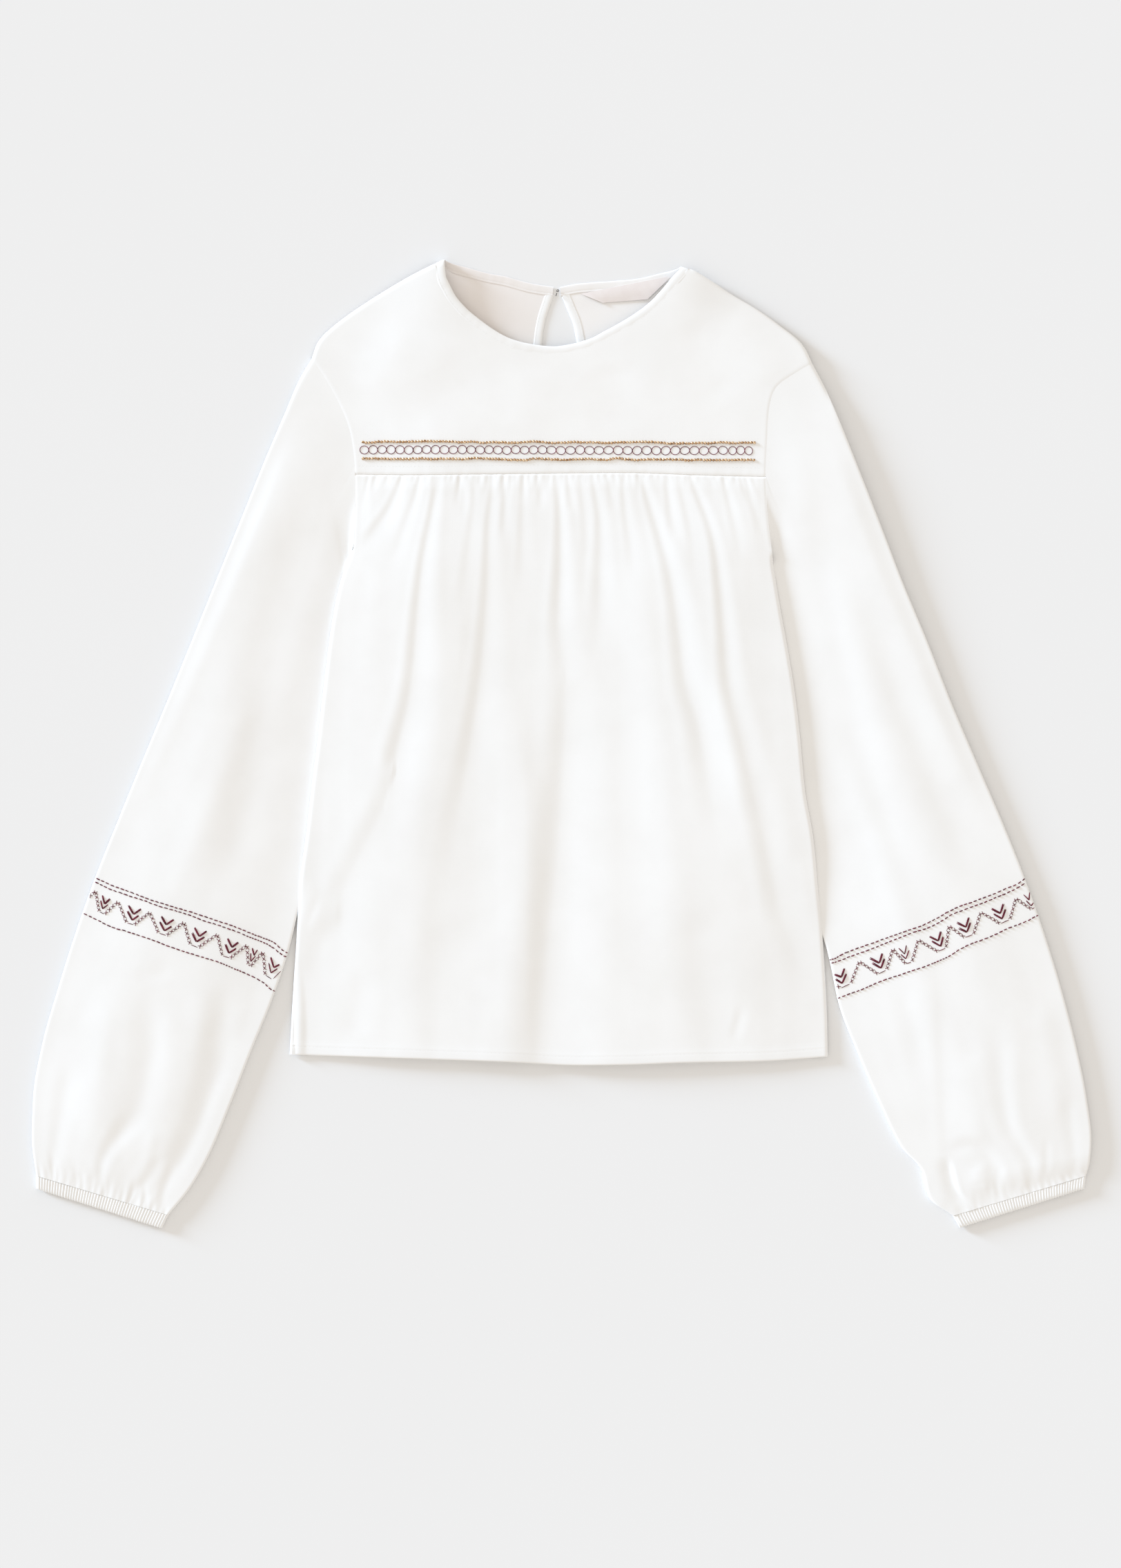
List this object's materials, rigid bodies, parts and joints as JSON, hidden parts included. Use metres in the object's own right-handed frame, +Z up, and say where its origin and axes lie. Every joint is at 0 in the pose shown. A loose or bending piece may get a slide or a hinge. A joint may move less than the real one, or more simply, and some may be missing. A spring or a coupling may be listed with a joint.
{
  "type": "embroidered long-sleeved smock top laid flat",
  "caption": "Long-sleeved cotton jersey smock top laid flat, gathered under a yoke, with beaded chest trim, embroidered sleeve bands, elastic cuffs and a back keyhole.",
  "frame": {"origin": "middle of the outline, on the surface that the top lies on", "axes": "+X across the garment to the wearer's left sleeve, +Y up the garment towards the neck, +Z up off the surface out of the front"},
  "size_m": [0.7971, 0.7288, 0.0095],
  "materials": {
    "cotton_jersey": "matt off-white fine cotton jersey with a faint knit grain",
    "binding_jersey": "matt off-white self-fabric binding with one stitch line",
    "label_tape": "smooth ecru satin tape, blank",
    "hook_metal": "dark enamelled wire",
    "embroidery_thread": "dark burgundy embroidery thread with a slight sheen",
    "bead_gold": "small antique-gold beads with brown in the recesses"
  },
  "bodies": {
    "root": {"front_yoke": "cotton_jersey", "front_panel": "cotton_jersey", "back_panel": "cotton_jersey", "sleeve_right": "cotton_jersey", "sleeve_left": "cotton_jersey", "cuff_right": "cotton_jersey", "cuff_left": "cotton_jersey", "neck_binding": "binding_jersey", "keyhole_binding": "binding_jersey", "neck_label": "label_tape", "neck_hook": "hook_metal"}
  },
  "joints": []
}
